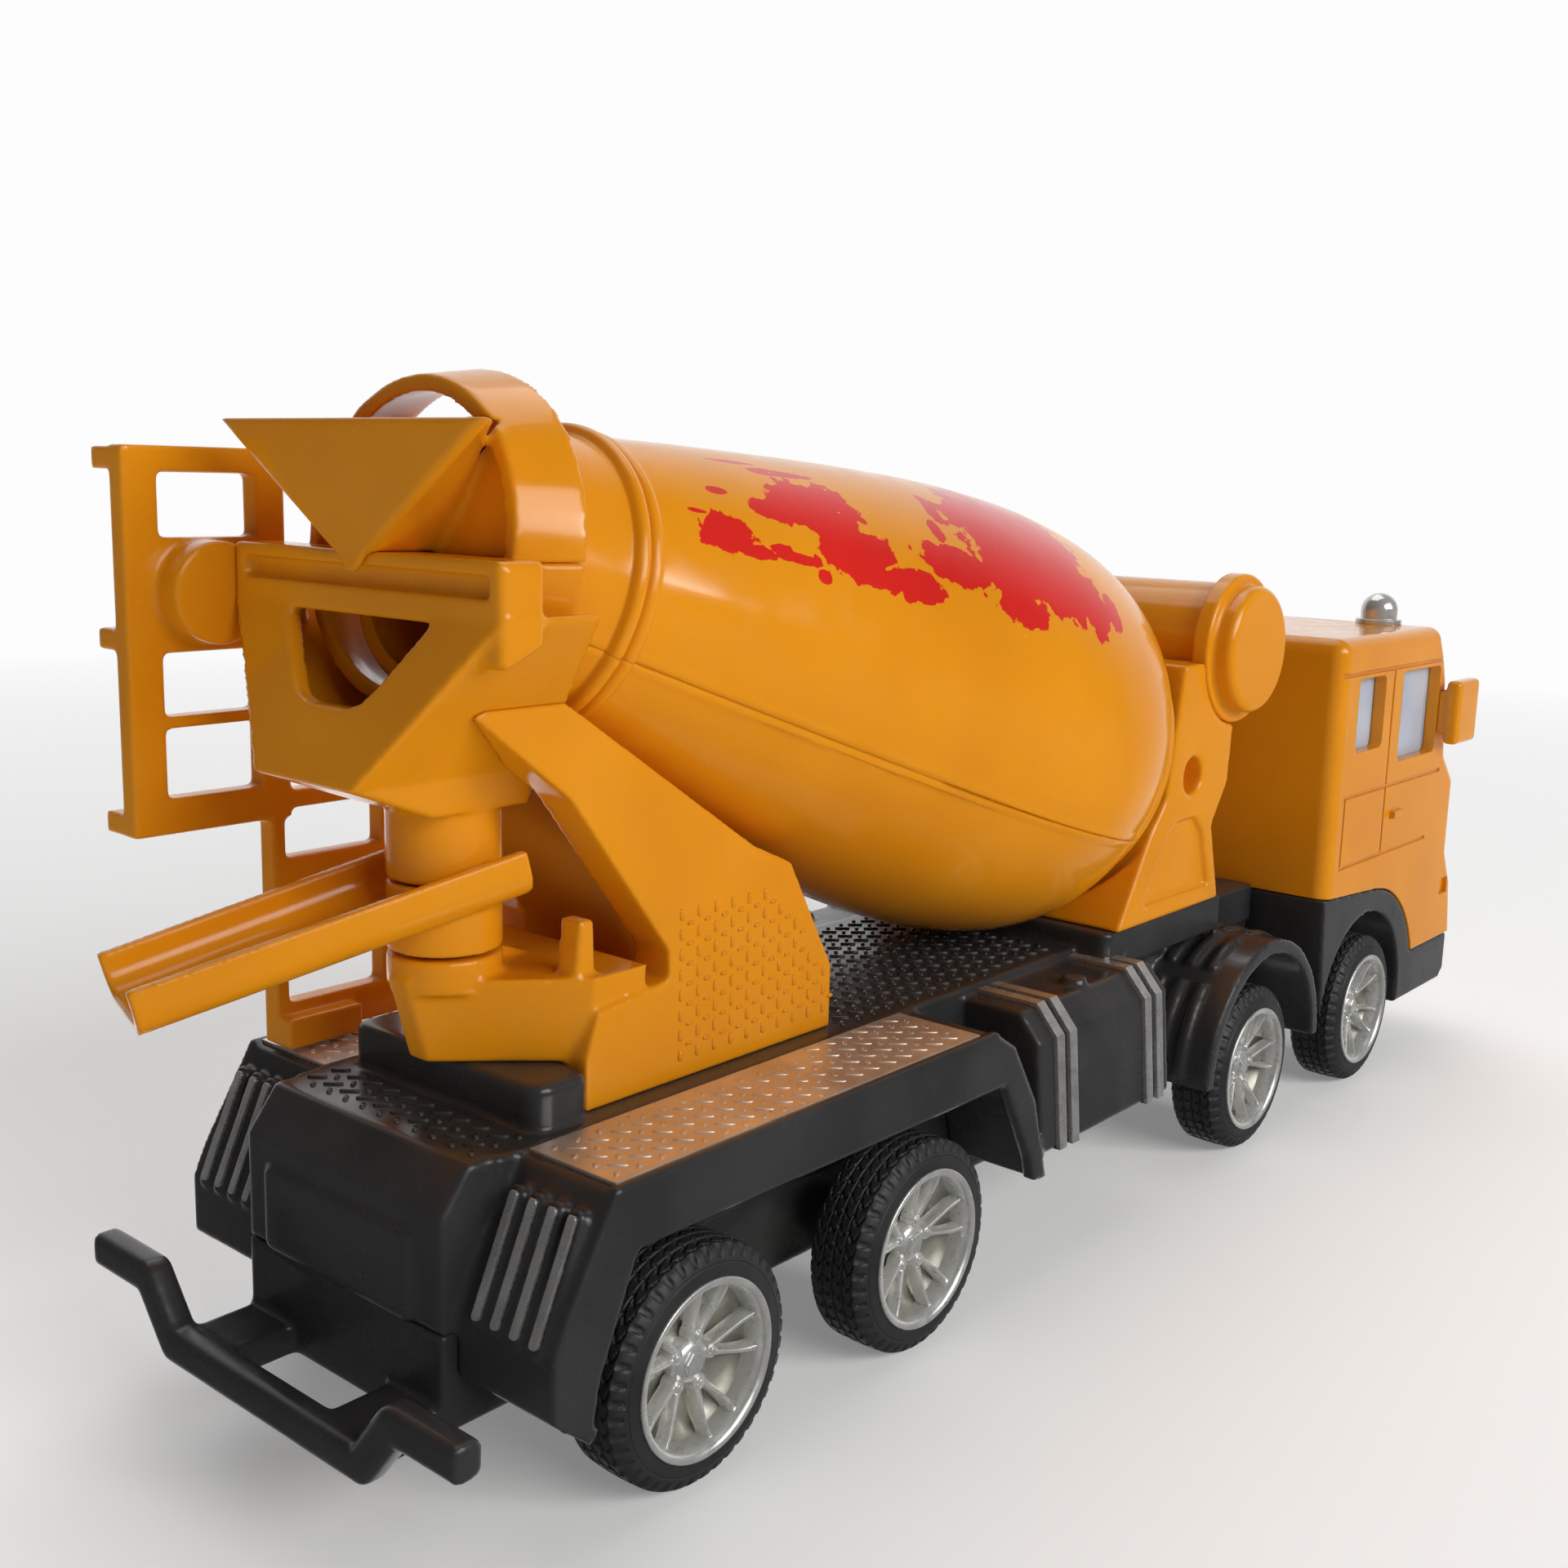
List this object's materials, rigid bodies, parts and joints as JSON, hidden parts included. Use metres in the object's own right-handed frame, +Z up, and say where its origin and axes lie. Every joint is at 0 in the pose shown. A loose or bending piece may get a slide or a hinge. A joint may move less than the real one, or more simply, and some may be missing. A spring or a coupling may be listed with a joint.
{
  "type": "toy cement mixer truck",
  "caption": "Toy cement mixer truck with a turning tilted drum, a hopper, a swivelling discharge chute, a ladder and freely rolling wheels.",
  "frame": {"origin": "middle of the truck's box, on the ground under the tyres", "axes": "+X forward to the cab, +Y to the truck's left, +Z up"},
  "size_m": [0.2462, 0.0652, 0.1084],
  "materials": {
    "orange_plastic": "glossy moulded, golden orange, slight waviness",
    "black_plastic": "glossy moulded black",
    "silver_paint": "thin silver paint on the raised faces of the black moulding",
    "silver_plating": "satin vacuum plating",
    "screw_steel": "self-tapping screws",
    "axle_steel": "drawn wire",
    "window_tint": "glossy pale blue-grey window moulding",
    "tyre_rubber": "soft matte black with moulded tread"
  },
  "bodies": {
    "truck": {"chassis_deck": "black_plastic", "chassis_base": "black_plastic", "chassis_screws": "screw_steel", "tread_plate_left": "silver_paint", "tread_plate_right": "silver_paint", "tank_bands_left": "silver_paint", "tank_bands_right": "silver_paint", "vent_louvres_left": "silver_paint", "vent_louvres_right": "silver_paint", "rear_pedestal": "orange_plastic", "drum_yoke": "orange_plastic", "hopper": "orange_plastic", "ladder": "orange_plastic", "front_stand": "orange_plastic", "water_tank": "orange_plastic", "tank_cap_left": "orange_plastic", "tank_cap_right": "orange_plastic", "cab_shell": "orange_plastic", "cab_base": "black_plastic", "cab_glazing": "window_tint", "mirror_left": "orange_plastic", "mirror_right": "orange_plastic", "roof_beacon_left": "silver_plating", "roof_beacon_right": "silver_plating", "headlamp_left": "silver_plating", "headlamp_right": "silver_plating"},
    "drum": {"drum_half_lower": "orange_plastic", "drum_half_upper": "orange_plastic", "drum_front_cap": "orange_plastic"},
    "chute": {"discharge_chute": "orange_plastic"},
    "axle_1": {"axle_rod_1": "axle_steel", "rim_1_left": "silver_plating", "rim_1_right": "silver_plating", "tyre_1_left": "tyre_rubber", "tyre_1_right": "tyre_rubber"},
    "axle_2": {"axle_rod_2": "axle_steel", "rim_2_left": "silver_plating", "rim_2_right": "silver_plating", "tyre_2_left": "tyre_rubber", "tyre_2_right": "tyre_rubber"},
    "axle_3": {"axle_rod_3": "axle_steel", "rim_3_left": "silver_plating", "rim_3_right": "silver_plating", "tyre_3_left": "tyre_rubber", "tyre_3_right": "tyre_rubber"},
    "axle_4": {"axle_rod_4": "axle_steel", "rim_4_left": "silver_plating", "rim_4_right": "silver_plating", "tyre_4_left": "tyre_rubber", "tyre_4_right": "tyre_rubber"}
  },
  "joints": [
    {"name": "drum_spin", "type": "hinge", "parent": "truck", "child": "drum", "pos_m": [-0.07827, 0, 0.08742], "axis": [0.9632, 0, -0.2689], "continuous": true},
    {"name": "chute_swing", "type": "hinge", "parent": "truck", "child": "chute", "pos_m": [-0.09041, 0, 0.055], "axis": [0, 0, 1], "range_deg": [-37, 73]},
    {"name": "axle_1_roll", "type": "hinge", "parent": "truck", "child": "axle_1", "pos_m": [-0.08191, 0, 0.0125], "axis": [0, 1, 0], "continuous": true},
    {"name": "axle_2_roll", "type": "hinge", "parent": "truck", "child": "axle_2", "pos_m": [-0.04521, 0, 0.0125], "axis": [0, 1, 0], "continuous": true},
    {"name": "axle_3_roll", "type": "hinge", "parent": "truck", "child": "axle_3", "pos_m": [0.03919, 0, 0.0125], "axis": [0, 1, 0], "continuous": true},
    {"name": "axle_4_roll", "type": "hinge", "parent": "truck", "child": "axle_4", "pos_m": [0.08079, 0, 0.0125], "axis": [0, 1, 0], "continuous": true}
  ]
}
